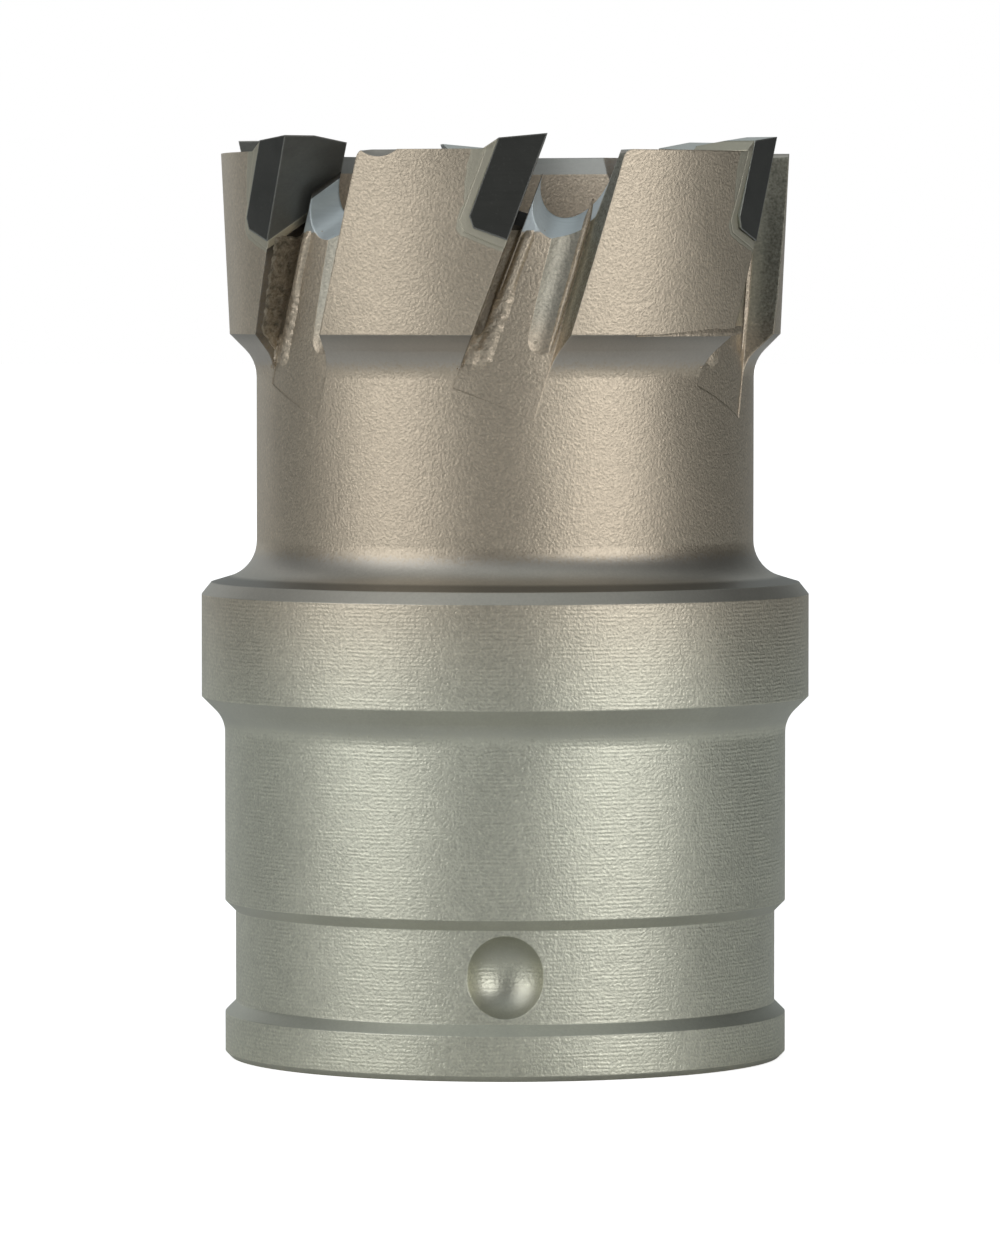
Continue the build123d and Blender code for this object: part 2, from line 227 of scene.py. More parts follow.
def weighted_sum(tree, start, *terms):
    """A start value plus each term, which is a value and its weight."""
    total = start
    for value, weight in terms:
        total = maths(tree, "MULTIPLY_ADD", value, weight, total)
    return total


def remainder(tree, value):
    """What is left of 1 when a mask is taken away."""
    return maths(tree, "SUBTRACT", 1.0, value)


def smooth_step(tree, value, low, high):
    """0 at low, 1 at high, smooth between; high may be the lower. A name in step is such a pair."""
    inputs = {"Value": value, "From Min": low, "From Max": high}
    return add_node(tree, "ShaderNodeMapRange", inputs, interpolation_type="SMOOTHSTEP").outputs["Result"]


def blend_colour(tree, factor, first, second, blend_type="MIX"):
    """A colour Mix node's result."""
    node = add_node(tree, "ShaderNodeMix", data_type="RGBA", blend_type=blend_type)
    for index, value in ((0, factor), (6, first), (7, second)):
        fill_socket(tree, node.inputs[index], value)
    return node.outputs[2]


def toned(tree, colour, tone):
    """A colour made lighter or darker by a tone around 1."""
    grey = add_node(tree, "ShaderNodeCombineColor", {"Red": tone, "Green": tone, "Blue": tone}).outputs[0]
    return blend_colour(tree, 1.0, colour, grey, blend_type="MULTIPLY")


def noise_value(tree, vector, scale, detail=2.0, roughness=0.5, distortion=0.0):
    """A Noise Texture's value."""
    inputs = {"Vector": vector, "Scale": scale, "Detail": detail, "Roughness": roughness}
    inputs["Distortion"] = distortion
    return add_node(tree, "ShaderNodeTexNoise", inputs).outputs["Fac"]


def vector_maths(tree, operation, first, second, output=0):
    """A Vector Math node's result."""
    return add_node(tree, "ShaderNodeVectorMath", {0: first, 1: second}, operation=operation).outputs[output]


def along(tree, vector, direction):
    """How far a vector reaches along a direction."""
    return vector_maths(tree, "DOT_PRODUCT", vector, tuple(direction), "Value")


def components(tree, vector):
    """The X, Y and Z sockets of a vector."""
    return add_node(tree, "ShaderNodeSeparateXYZ", {"Vector": vector}).outputs


def vector_length(tree, vector):
    """How long a vector is."""
    return add_node(tree, "ShaderNodeVectorMath", {0: vector}, operation="LENGTH").outputs["Value"]


def surface_normal(tree):
    """The normal of the mesh."""
    return tree.nodes.new("ShaderNodeNewGeometry").outputs["Normal"]


def object_place(tree):
    """The point on the piece, in metres from the part's origin."""
    return tree.nodes.new("ShaderNodeTexCoord").outputs["Object"]


FLOAT = "NodeSocketFloat"
VECTOR = "NodeSocketVector"
SHADER = "Principled BSDF"


def new_group(name, inputs):
    """An empty node group with named inputs, and the sockets that give their values."""
    group = bpy.data.node_groups.new(name, "ShaderNodeTree")
    for socket_name, kind, default in inputs:
        socket = group.interface.new_socket(name=socket_name, in_out="INPUT", socket_type=kind)
        if default is not None:
            socket.default_value = default
    return group, group.nodes.new("NodeGroupInput").outputs


def close_group(group, outputs):
    """Gives a group its outputs, each a name and the value that it puts out."""
    for socket_name, value in outputs.items():
        kind = VECTOR if value.type == "VECTOR" else FLOAT
        group.interface.new_socket(name=socket_name, in_out="OUTPUT", socket_type=kind)
    end = group.nodes.new("NodeGroupOutput")
    for socket_name, value in outputs.items():
        group.links.new(value, end.inputs[socket_name])
    return group


def blast_grain_group():
    """Marks of the blasting: a fine leathery relief, sparse bright specks that are painted glints, and slow
    clouds of tone.
    """
    group, given = new_group("Blast Grain", [("Vector", VECTOR, None), ("Grain Size", FLOAT, 0.0001)])
    coarse_scale, speck_scale, cloud_scale = 0.45, 0.9, 0.03
    speck_step = (0.68, 0.80)
    place = given["Vector"]
    scale = maths(group, "DIVIDE", 1.0, given["Grain Size"])
    fine = noise_value(group, place, scale, detail=1.0)
    coarse = noise_value(group, place, maths(group, "MULTIPLY", scale, coarse_scale), detail=1.0)
    speck = noise_value(group, place, maths(group, "MULTIPLY", scale, speck_scale), detail=0.0)
    cloud = noise_value(group, place, maths(group, "MULTIPLY", scale, cloud_scale), detail=3.0)
    outputs = {
        "Height": weighted_sum(group, fine, (coarse, 0.35)),
        "Speck": smooth_step(group, speck, *speck_step),
        "Cloud": cloud,
    }
    return close_group(group, outputs)


def turned_rings_group():
    """Fine, slightly wavy and broken rings that the turning tool left round the part."""
    group, given = new_group("Turned Rings", [("Vector", VECTOR, None), ("Pitch", FLOAT, 0.00015)])
    one_band_scale = 2 * pi / 20
    drawn_round = (0.3, 0.3, 1.0)
    patch_scale = 1.1
    patch_step = (0.32, 0.62)
    scale = maths(group, "DIVIDE", one_band_scale, given["Pitch"])
    place = vector_maths(group, "MULTIPLY", given["Vector"], drawn_round)
    wave = {"Vector": place, "Scale": scale, "Distortion": 2.2, "Detail": 2.0, "Detail Scale": 1.2}
    bands = add_node(group, "ShaderNodeTexWave", wave, wave_type="BANDS", bands_direction="Z")
    patches = noise_value(group, place, maths(group, "MULTIPLY", scale, patch_scale))
    broken = product(group, bands.outputs["Fac"], smooth_step(group, patches, *patch_step))
    return close_group(group, {"Height": broken})


def edge_round_highlight_group():
    """A rounded normal at the edges, and a mask of the sharp edges themselves, which the finishes use as a
    painted highlight.
    """
    group, given = new_group("Edge Round And Highlight", [("Radius", FLOAT, 0.00009), ("Least Bend", FLOAT, 0.03)])
    full_to_least_bend = 5.0
    rounded = add_node(group, "ShaderNodeBevel", {"Radius": given["Radius"]}, samples=4).outputs[0]
    together = vector_maths(group, "DOT_PRODUCT", rounded, surface_normal(group), "Value")
    full_bend = maths(group, "MULTIPLY", given["Least Bend"], full_to_least_bend)
    edge = smooth_step(group, remainder(group, together), given["Least Bend"], full_bend)
    return close_group(group, {"Normal": rounded, "Edge": edge})


def ground_streaks_group():
    """Fine straight scratches of a grinding wheel, drawn out along X of the vector."""
    group, given = new_group("Ground Streaks", [("Vector", VECTOR, None), ("Width", FLOAT, 0.00006)])
    streak_scale, cloud_scale = 0.6, 0.03
    drawn_along = (0.04, 1.0, 1.0)
    scale = maths(group, "DIVIDE", 1.0, given["Width"])
    drawn = vector_maths(group, "MULTIPLY", given["Vector"], drawn_along)
    streaks = noise_value(group, drawn, maths(group, "MULTIPLY", scale, streak_scale), roughness=0.6)
    cloud = noise_value(group, given["Vector"], maths(group, "MULTIPLY", scale, cloud_scale))
    tone = weighted_sum(group, product(group, cloud, 0.5), (streaks, 0.5))
    return close_group(group, {"Height": streaks, "Tone": tone})


def tooth_zone_group():
    """Masks beside one tip: the wiped zone behind and below it, its outline, painted shade in the slot, the
    gullet's side.
    """
    group, given = new_group("Tooth Zone", [("Vector", VECTOR, None), ("Turn", FLOAT, 0.0)])
    lens_width = 0.00078
    lens_lean = 0.66
    corner_round = 0.0009
    soft = 0.00003
    ragged_scale = 2500.0
    ragged_reach = 0.00009
    low_edge_width = BRAZE_THICKNESS + 0.00008
    low_edge_step = (0.5, 0.9)
    inner_step = (-0.0014, -0.0011)
    flute_step = (-0.0042, -0.0036)
    slot_foot_step = (-0.0098, -0.0080)
    near_tip_step = (-0.0052, -0.0042)
    side_step = (-SLOT_WIDTH - 0.0008, -SLOT_WIDTH - 0.0007)
    above_strip_step = (STRIP_TOP - 0.0001, STRIP_TOP)

    back_turn = product(group, given["Turn"], -1.0)
    about_axis = {"Vector": given["Vector"], "Angle": back_turn}
    turned = add_node(group, "ShaderNodeVectorRotate", about_axis, rotation_type="Z_AXIS").outputs[0]
    from_corner = vector_maths(group, "SUBTRACT", turned, tuple(CORNER))
    behind = along(group, from_corner, BACK)
    height = along(group, from_corner, UP_FACE)
    out = along(group, from_corner, OUTWARD)
    ragged = noise_value(group, given["Vector"], ragged_scale)
    ragged = weighted_sum(group, -ragged_reach, (ragged, 2 * ragged_reach))

    span = maths(group, "DIVIDE", height, -TIP_LENGTH, clamp=True)
    leaned = maths(group, "POWER", span, lens_lean)
    hump = product(group, leaned, remainder(group, leaned), 4 * lens_width)
    low_edge = product(group, smooth_step(group, span, *low_edge_step), low_edge_width)
    reach = maths(group, "ADD", maths(group, "MAXIMUM", hump, low_edge), TIP_THICKNESS)
    inside_back = maths(group, "ADD", maths(group, "SUBTRACT", reach, behind), ragged)
    low_reach = TIP_LENGTH + BRAZE_THICKNESS / cos(radians(LOWER_EDGE_SLOPE))
    inside_low = maths(group, "ADD", maths(group, "ADD", height, low_reach), ragged)
    inside_both = maths(group, "SMOOTH_MIN", inside_back, inside_low, corner_round)
    on_back = smooth_step(group, behind, -soft, soft)
    on_tooth = product(group, on_back, smooth_step(group, out, *inner_step))
    from_outline = maths(group, "ABSOLUTE", inside_both)

    in_flute = smooth_step(group, out, *flute_step)
    # Painted shade in the narrow slot before the rake plane, deeper near the tip
    slot = product(
        group,
        smooth_step(group, behind, -SLOT_WIDTH - 2 * soft, -SLOT_WIDTH),
        smooth_step(group, behind, soft, soft / 3),
        smooth_step(group, height, *slot_foot_step),
        in_flute,
        weighted_sum(group, 0.50, (smooth_step(group, height, *near_tip_step), 0.40)),
    )
    gullet_side = product(
        group,
        smooth_step(group, behind, *side_step),
        smooth_step(group, behind, -SLOT_WIDTH, -SLOT_WIDTH - soft),
        smooth_step(group, components(group, given["Vector"])["Z"], *above_strip_step),
        in_flute,
    )
    outputs = {
        "Zone": product(group, smooth_step(group, inside_both, -soft, soft), on_tooth),
        "Outline": product(group, smooth_step(group, from_outline, 3 * soft, soft / 2), on_tooth),
        "Slot Shade": slot,
        "Gullet Side": gullet_side,
    }
    return close_group(group, outputs)


GROUP_BUILDERS = {
    "Blast Grain": blast_grain_group,
    "Turned Rings": turned_rings_group,
    "Edge Round And Highlight": edge_round_highlight_group,
    "Ground Streaks": ground_streaks_group,
    "Tooth Zone": tooth_zone_group,
}


def use_group(tree, name, inputs=None):
    """A shared group placed in a material with its own values; it is built at its first use."""
    node = tree.nodes.new("ShaderNodeGroup")
    node.node_tree = bpy.data.node_groups.get(name) or GROUP_BUILDERS[name]()
    for socket, value in (inputs or {}).items():
        fill_socket(tree, node.inputs[socket], value)
    return node.outputs


def new_material(name):
    """A material with only its shader, and its tree."""
    material = bpy.data.materials.new(name)
    material.use_nodes = True
    return material, material.node_tree


def all_tooth_zones(tree, place):
    """The masks of all the teeth together, by name."""
    masks = dict.fromkeys(("Zone", "Outline", "Slot Shade", "Gullet Side"), 0.0)
    for turn in TOOTH_TURNS:
        tooth = use_group(tree, "Tooth Zone", {"Vector": place, "Turn": turn})
        for name in masks:
            masks[name] = maths(tree, "MAXIMUM", masks[name], tooth[name])
    return masks


def fill_shader(material, colour, metallic, roughness, relief, relief_depth, normal):
    """The material with its colour, metal and roughness, and with a relief on the given normal."""
    tree = material.node_tree
    bump = {"Strength": 1.0, "Distance": relief_depth, "Height": relief, "Normal": normal}
    inputs = {
        "Base Color": colour,
        "Metallic": metallic,
        "Roughness": roughness,
        "Normal": add_node(tree, "ShaderNodeBump", bump).outputs["Normal"],
    }
    for name, value in inputs.items():
        fill_socket(tree, tree.nodes[SHADER].inputs[name], value)
    return material


def slanted_faces(tree, grain):
    """A mask of the slanted and level faces, with borders that the grain frays."""
    slanted_step = (0.15, 0.50)
    middle_fray = 0.33
    facing = maths(tree, "ABSOLUTE", components(tree, surface_normal(tree))["Z"])
    frayed = weighted_sum(tree, maths(tree, "SUBTRACT", facing, middle_fray), (grain["Height"], 0.5))
    return smooth_step(tree, frayed, *slanted_step)


def plated_colour(tree, finish, height, slanted, masks):
    """Warm above and grey below, smooth and darker on slants as painted shade, olive in the wiped zones,
    bright beside the gullets.
    """
    warm_step = (0.0120, 0.0210)
    warm = smooth_step(tree, height, *warm_step)
    base = blend_colour(tree, warm, rgba(finish.grey_steel), rgba(finish.warm_steel))
    # Smooth plating on the slants, darkened as painted shade
    slope = blend_colour(tree, warm, rgba(finish.smooth_shaded_steel), rgba(finish.shaded_steel))
    base = blend_colour(tree, product(tree, slanted, 0.8), base, slope)
    base = blend_colour(tree, masks["Zone"], base, rgba(finish.braze))
    return blend_colour(tree, masks["Gullet Side"], base, rgba(finish.ground_steel))


def plated_shade(tree, height, slanted, slot):
    """How much light is left by the painted shade in the fillet above the flange, in the slots and under the
    crown.
    """
    fillet_shade_top_step = (0.01868, 0.01856)
    fillet_shade_foot_step = (0.01837, 0.01841)
    shade_foot_step = (CROWN_BOTTOM - 0.0005, CROWN_BOTTOM)
    shade_top_step = (CROWN_BOTTOM + 0.0001, CROWN_BOTTOM)
    # Painted shade in the concave fillet at the neck's foot, just above the flange
    above_flange = smooth_step(tree, height, *fillet_shade_top_step)
    fillet_shade = product(tree, above_flange, smooth_step(tree, height, *fillet_shade_foot_step), slanted)
    under_crown = smooth_step(tree, height, *shade_foot_step)
    shade = product(tree, under_crown, smooth_step(tree, height, *shade_top_step), slanted)
    fillet_unshaded = weighted_sum(tree, 1.0, (fillet_shade, -0.5))
    return product(tree, fillet_unshaded, remainder(tree, slot), weighted_sum(tree, 1.0, (shade, -0.25)))


def plated_steel_material(finish):
    """Blasted and plated steel: warm on the crown and neck, greyer and ringed on the flange and shank."""
    material, tree = new_material("plated_steel_finish")
    ringed_step = (0.0186, 0.0178)
    middle_relief = 0.675
    place = object_place(tree)
    height = components(tree, place)["Z"]
    grain = use_group(tree, "Blast Grain", {"Vector": place, "Grain Size": finish.grain_size})
    rings = use_group(tree, "Turned Rings", {"Vector": place, "Pitch": finish.ring_pitch})
    edge_round_and_highlight = use_group(tree, "Edge Round And Highlight", {"Radius": finish.edge_radius})
    masks = all_tooth_zones(tree, place)
    slanted = slanted_faces(tree, grain)
    smooth = maths(tree, "MAXIMUM", maths(tree, "MAXIMUM", slanted, masks["Zone"]), masks["Gullet Side"])
    rough_surface = remainder(tree, smooth)
    grain_share = weighted_sum(tree, 1.0, (smooth, -0.7))
    light_and_dark = product(tree, maths(tree, "SUBTRACT", grain["Height"], middle_relief), grain_share)
    ring_marks = product(tree, rings["Height"], smooth_step(tree, height, *ringed_step), rough_surface)
    # The edge mark is a painted highlight, and the speck mark painted glints
    marks = (
        (grain["Cloud"], 0.22),
        (light_and_dark, 0.50),
        (product(tree, grain["Speck"], rough_surface), 0.16),
        (ring_marks, 0.08),
        (edge_round_and_highlight["Edge"], 0.14),
        (masks["Outline"], 0.10),
    )
    # Painted shade: the fillet above the flange, the slots and the band under the crown
    shade = plated_shade(tree, height, slanted, masks["Slot Shade"])
    tone = product(tree, weighted_sum(tree, 0.87, *marks), shade)
    return fill_shader(
        material,
        colour=toned(tree, plated_colour(tree, finish, height, slanted, masks), tone),
        metallic=0.95,
        roughness=weighted_sum(tree, 0.39, (smooth, 0.03), (grain["Cloud"], 0.06)),
        relief=weighted_sum(tree, product(tree, grain["Height"], grain_share), (ring_marks, 0.24)),
        relief_depth=0.000016,
        normal=edge_round_and_highlight["Normal"],
    )


def side_steel_material(finish, name, colour, tone_level, relief_depth=0.00001, painted_foot_light=0.0):
    """Blasted steel for bore, channels and walls: its own colour fades to the plated one on the neck."""
    material, tree = new_material(name)
    lit_foot_step = (FLOOR_RADIUS + 0.0008, FLOOR_RADIUS + 0.0001)
    own_colour_step = (CROWN_BOTTOM - 0.0007, CROWN_BOTTOM + 0.0012)
    place = object_place(tree)
    grain = use_group(tree, "Blast Grain", {"Vector": place, "Grain Size": finish.grain_size})
    edge_round_and_highlight = use_group(tree, "Edge Round And Highlight", {"Radius": finish.edge_radius})
    radius = vector_length(tree, vector_maths(tree, "MULTIPLY", place, (1.0, 1.0, 0.0)))
    # Painted light on the concave foot of a wall beside the flute's floor
    foot = smooth_step(tree, radius, *lit_foot_step)
    # The edge mark is a painted highlight, and the speck mark painted glints
    marks = ((grain["Height"], 0.7), (grain["Speck"], 0.15), (edge_round_and_highlight["Edge"], 0.22), (foot, painted_foot_light))
    own_colour = smooth_step(tree, components(tree, place)["Z"], *own_colour_step)
    base = blend_colour(tree, own_colour, rgba(finish.warm_steel), rgba(colour))
    return fill_shader(
        material,
        colour=toned(tree, base, weighted_sum(tree, tone_level, *marks)),
        metallic=0.9,
        roughness=weighted_sum(tree, 0.40, (grain["Cloud"], 0.1)),
        relief=grain["Height"],
        relief_depth=relief_depth,
        normal=edge_round_and_highlight["Normal"],
    )


def ground_steel_material(finish, name, colour):
    """Bright metal with the fine scratches of grinding: gullets, the band inside the rim, tops of tips."""
    material, tree = new_material(name)
    streaks = use_group(tree, "Ground Streaks", {"Vector": object_place(tree), "Width": 0.00007})
    edge_round_and_highlight = use_group(tree, "Edge Round And Highlight", {"Radius": finish.edge_radius})
    # The edge mark is a painted highlight
    tone = weighted_sum(tree, 0.78, (streaks["Tone"], 0.4), (edge_round_and_highlight["Edge"], 0.12))
    return fill_shader(
        material,
        colour=toned(tree, rgba(colour), tone),
        metallic=0.35,
        roughness=weighted_sum(tree, 0.30, (streaks["Tone"], 0.12)),
        relief=streaks["Height"],
        relief_depth=0.000003,
        normal=edge_round_and_highlight["Normal"],
    )


def carbide_material(name, colour):
    """Dark ground tungsten carbide with smoky tones and fine light lines along its edges, which are painted
    highlights.
    """
    material, tree = new_material(name)
    highlight_carbide = (0.40, 0.40, 0.37, 1.0)
    place = object_place(tree)
    streaks = use_group(tree, "Ground Streaks", {"Vector": place, "Width": 0.00005})
    grain = use_group(tree, "Blast Grain", {"Vector": place, "Grain Size": 0.0001})
    edge_round_and_highlight = use_group(tree, "Edge Round And Highlight", {"Radius": 0.00008, "Least Bend": 0.006})
    smoke = noise_value(tree, place, scale=700.0, detail=3.0, distortion=0.6)
    tone = weighted_sum(tree, 0.45, (streaks["Tone"], 0.5), (smoke, 0.6))
    # Painted highlight along the edges, with faint painted glints
    light = weighted_sum(tree, product(tree, edge_round_and_highlight["Edge"], 0.75), (grain["Speck"], 0.03))
    return fill_shader(
        material,
        colour=blend_colour(tree, light, toned(tree, rgba(colour), tone), highlight_carbide),
        metallic=0.3,
        roughness=weighted_sum(tree, 0.26, (streaks["Tone"], 0.15)),
        relief=streaks["Height"],
        relief_depth=0.000002,
        normal=edge_round_and_highlight["Normal"],
    )


def braze_material(name, colour):
    """Dull alloy with a wiped, slightly lumpy surface, for the seams and a tip's brazed sides."""
    material, tree = new_material(name)
    grain = use_group(tree, "Blast Grain", {"Vector": object_place(tree), "Grain Size": 0.00016})
    edge_round_and_highlight = use_group(tree, "Edge Round And Highlight", {"Radius": 0.00008})
    # The edge mark is a painted highlight
    tone = weighted_sum(tree, 0.80, (grain["Cloud"], 0.24), (grain["Height"], 0.10), (edge_round_and_highlight["Edge"], 0.10))
    return fill_shader(
        material,
        colour=toned(tree, rgba(colour), tone),
        metallic=0.9,
        roughness=weighted_sum(tree, 0.38, (grain["Cloud"], 0.1)),
        relief=grain["Height"],
        relief_depth=0.000005,
        normal=edge_round_and_highlight["Normal"],
    )


def torn_steel_material(finish, name):
    """Steel torn by a chattering cutter: light lumps, with painted shade in the hollows between them."""
    material, tree = new_material(name)
    hollow_shade_colour = (0.14, 0.125, 0.095, 1.0)
    grain = use_group(tree, "Blast Grain", {"Vector": object_place(tree), "Grain Size": 0.0001})
    hollow_shade = add_node(tree, "ShaderNodeAttribute", attribute_name="hollow_shade").outputs["Fac"]
    base = blend_colour(tree, hollow_shade, rgba(finish.warm_steel), hollow_shade_colour)
    tone = weighted_sum(tree, 0.42, (grain["Height"], 0.8), (grain["Speck"], 0.2))
    return fill_shader(
        material,
        colour=toned(tree, base, tone),
        metallic=0.9,
        roughness=weighted_sum(tree, 0.48, (hollow_shade, 0.1)),
        relief=grain["Height"],
        relief_depth=0.000022,
        normal=surface_normal(tree),
    )


def deselect_all():
    """Nothing is selected after this, so that an operator acts on the new piece alone."""
    bpy.ops.object.select_all(action="DESELECT")


def copy_of_node(node, name):
    """A merged copy of a CAD node, active and selected."""
    deselect_all()
    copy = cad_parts[node].copy()
    copy.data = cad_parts[node].data.copy()
    copy.name = name
    copy.data.name = name
    for key in list(copy.keys()):
        del copy[key]
    copy.parent = None
    bpy.context.scene.collection.objects.link(copy)
    bpy.context.view_layer.objects.active = copy
    copy.select_set(True)
    bpy.ops.object.mode_set(mode="EDIT")
    bpy.ops.mesh.select_all(action="SELECT")
    bpy.ops.mesh.remove_doubles(threshold=1e-7, use_sharp_edge_from_normals=True)
    bpy.ops.object.mode_set(mode="OBJECT")
    copy.data.materials.clear()
    return copy


def dress_faces(piece, finishes, finish_of):
    """Gives a piece its materials, and each face the one that finish_of names."""
    for material in finishes.values():
        piece.data.materials.append(material)
    names = list(finishes)
    for face in piece.data.polygons:
        face.material_index = names.index(finish_of(face))


def in_tooth_frame(vector, turn):
    """A vector turned so that the tooth at that turn stands at +X."""
    return Matrix.Rotation(-turn, 3, "Z") @ vector


def rake_turn(radius, height, before):
    """Turn from the tooth to the point that far before the rake plane, on that radius and height."""
    level = BACK.dot(CORNER) - before - BACK.z * height
    return atan2(BACK.y, BACK.x) + acos(level / (radius * hypot(BACK.x, BACK.y)))


def wall_turn(radius, height, gullet_angle):
    """Turn from the tooth to the flute's slanted wall, on that radius and height."""
    return radians(gullet_angle) + asin((height - RIM_HEIGHT) * tan(radians(FLUTE_HELIX)) / radius)


def round_point(radius, turn, height):
    """A point given by its radius, its turn from +X and its height."""
    return Vector((radius * cos(turn), radius * sin(turn), height))


def eased(value, low, high):
    """0 at low, 1 at high, smooth between them; high may be the lower of the two."""
    share = min(max((value - low) / (high - low), 0.0), 1.0)
    return share * share * (3 - 2 * share)


def laid_sheet(name, grid, thickness, place, material):
    """A sheet of metal laid on the body, whose points and painted shade are placed by a function of u and v.
    """
    columns, rows = grid
    deselect_all()
    bpy.ops.mesh.primitive_grid_add(x_subdivisions=columns, y_subdivisions=rows, size=1.0)
    sheet = bpy.context.object
    sheet.name = name
    sheet.data.name = name
    hollow_shade = sheet.data.attributes.new("hollow_shade", "FLOAT", "POINT")
    for vertex in sheet.data.vertices:
        # The second value is the painted shade that the sheet's attribute carries
        point, depth = place(vertex.co.x + 0.5, vertex.co.y + 0.5)
        vertex.co = point
        hollow_shade.data[vertex.index].value = depth
    solid = sheet.modifiers.new("wall", "SOLIDIFY")
    solid.thickness = thickness
    solid.offset = -1.0
    bpy.ops.object.modifier_apply(modifier=solid.name)
    bpy.ops.object.shade_smooth_by_angle(angle=radians(SHEET_SMOOTH_ANGLE))
    sheet.data.materials.append(material)
    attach(sheet, BODY)
    return sheet


class CUTTER_OT_dress_body(bpy.types.Operator):
    """Copies the steel body, and gives each surface its turned, blasted or ground finish"""

    bl_idname = "cutter.dress_body"
    bl_label = "Dress Body"

    # How far a face may lie from where its surface should be
    bore_margin = 0.00025
    slot_margin = 0.0001
    gullet_margin = 0.00006
    floor_margin = 0.000005

    # How near to the axis a slot or a gullet reaches
    tooth_inside = 0.006

    # How far below a gullet's centre line its finish begins, and how far below the crown a wall's ends
    gullet_from = 0.00025
    wall_run_out = 0.003

    # Least cosines between a face's normal and where it should face, and the most along a gullet
    bore_facing = 0.7
    channel_facing = 0.5
    wall_facing = 0.93
    gullet_tilt = 0.1

    def execute(self, context):
        finish = context.scene.cutter_finish
        body = copy_of_node(BODY_NODE, "blasted_body")
        finishes = {
            "plated": plated_steel_material(finish),
            "gullet": ground_steel_material(finish, "ground_steel_finish", finish.ground_steel),
            "band": ground_steel_material(finish, "rim_band_finish", finish.band_steel),
            "bore": side_steel_material(finish, "bore_finish", finish.bore_steel, tone_level=0.61),
            # The slanted walls are darkened by their low tone level as painted shade, with painted light
            # near their foot
            "wall": side_steel_material(
                finish, "flute_wall_with_shade_and_foot_light", finish.wall_steel, tone_level=0.08, painted_foot_light=0.55
            ),
            "channel": side_steel_material(
                finish, "channel_finish", finish.channel_steel, tone_level=0.48, relief_depth=0.000012
            ),
        }
        dress_faces(body, finishes, self.finish_of)
        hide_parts(BODY_NODE)
        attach(body, BODY)
        return {"FINISHED"}

    def finish_of(self, face):
        """The finish of a face, told by where it lies and where it faces."""
        radius = hypot(face.center.x, face.center.y)
        outward = (face.normal.x * face.center.x + face.normal.y * face.center.y) / max(radius, 1e-6)
        if radius < BORE_RADIUS + self.bore_margin and outward < -self.bore_facing:
            return "band" if face.center.z > RIM_HEIGHT - BAND_HEIGHT else "bore"
        if face.center.z > CROWN_BOTTOM - RUN_OUT:
            for turn in TOOTH_TURNS:
                place = in_tooth_frame(face.center, turn)
                normal = in_tooth_frame(face.normal, turn)
                if self.in_gullet(place, normal):
                    return "gullet"
                if self.in_slot(place):
                    return "plated"
            if radius < FLOOR_RADIUS - self.floor_margin and outward > self.channel_facing:
                return "channel"
        return "wall" if self.on_flute_wall(face, radius) else "plated"

    def in_slot(self, place):
        """Whether a face lies in the narrow slot before a rake plane."""
        before = (CORNER - place).dot(BACK)
        in_width = -self.slot_margin < before < SLOT_WIDTH + self.slot_margin
        return place.x > self.tooth_inside and in_width

    def in_gullet(self, place, normal):
        """Whether a face lies on a gullet's round bottom, apart from its straight sides."""
        if abs(normal.dot(INWARD_UP)) > self.gullet_tilt or place.x < self.tooth_inside:
            return False
        side = -BACK
        down = INWARD_UP.cross(side)
        if down.z > 0:
            down = -down
        below = TIP_LENGTH * cos(radians(LOWER_EDGE_SLOPE)) + GULLET_BELOW_TIP - GULLET_RADIUS
        offset = place - (CORNER + side * (SLOT_WIDTH + GULLET_RADIUS) + down * below)
        across = offset.dot(side)
        depth = offset.dot(down)
        off_round = abs(hypot(across, depth) - GULLET_RADIUS)
        return depth > self.gullet_from and off_round < self.gullet_margin

    def on_flute_wall(self, face, radius):
        """Whether a face lies on a flute's slanted wall, which faces back to the tooth."""
        if radius < FLOOR_RADIUS or face.center.z < CROWN_BOTTOM - self.wall_run_out:
            return False
        turn = atan2(face.center.y, face.center.x)
        facing = Vector((sin(turn), -cos(turn), 0)) * cos(radians(FLUTE_HELIX))
        facing.z = sin(radians(FLUTE_HELIX))
        return face.normal.dot(facing) > self.wall_facing


class CUTTER_OT_finish_tips(bpy.types.Operator):
    """Copies the carbide tips: dark where they are ground, paler on top and where they are brazed"""

    bl_idname = "cutter.finish_tips"
    bl_label = "Finish Tips"

    # Least cosines between a face's normal and where it should face
    top_facing = 0.6
    side_facing = 0.7

    def execute(self, context):
        finish = context.scene.cutter_finish
        finishes = {
            "ground": carbide_material("carbide_finish", finish.carbide),
            "brazed": braze_material("carbide_side_finish", finish.carbide_side),
            "top": ground_steel_material(finish, "carbide_top_finish", finish.carbide_top),
            # Rake faces get a lighter colour, partly a painted reflection of the polished face
            "rake": carbide_material("carbide_rake_reflection_finish", finish.carbide_rake_reflection),
        }
        for number, (node, turn) in enumerate(zip(TIP_NODES, TOOTH_TURNS), start=1):
            tip = copy_of_node(node, f"ground_tip_{number}")
            dress_faces(tip, finishes, lambda face: self.finish_of(in_tooth_frame(face.normal, turn)))
            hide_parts(node)
            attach(tip, BODY)
        return {"FINISHED"}

    def finish_of(self, normal):
        """The finish of a face, told by where it faces on its tooth."""
        if normal.z > self.top_facing:
            return "top"
        if normal.dot(BACK) < -self.side_facing:
            return "rake"
        if normal.dot(BACK) > self.side_facing or normal.dot(OUTWARD) < -self.side_facing:
            return "brazed"
        return "ground"


class CUTTER_OT_finish_seams(bpy.types.Operator):
    """Gives the braze seams their dull olive finish"""

    bl_idname = "cutter.finish_seams"
    bl_label = "Finish Seams"

    def execute(self, context):
        finish = context.scene.cutter_finish
        braze = braze_material("braze_finish", finish.braze)
        for node in SEAM_NODES:
            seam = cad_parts[node]
            seam.data.materials.clear()
            seam.data.materials.append(braze)
        return {"FINISHED"}


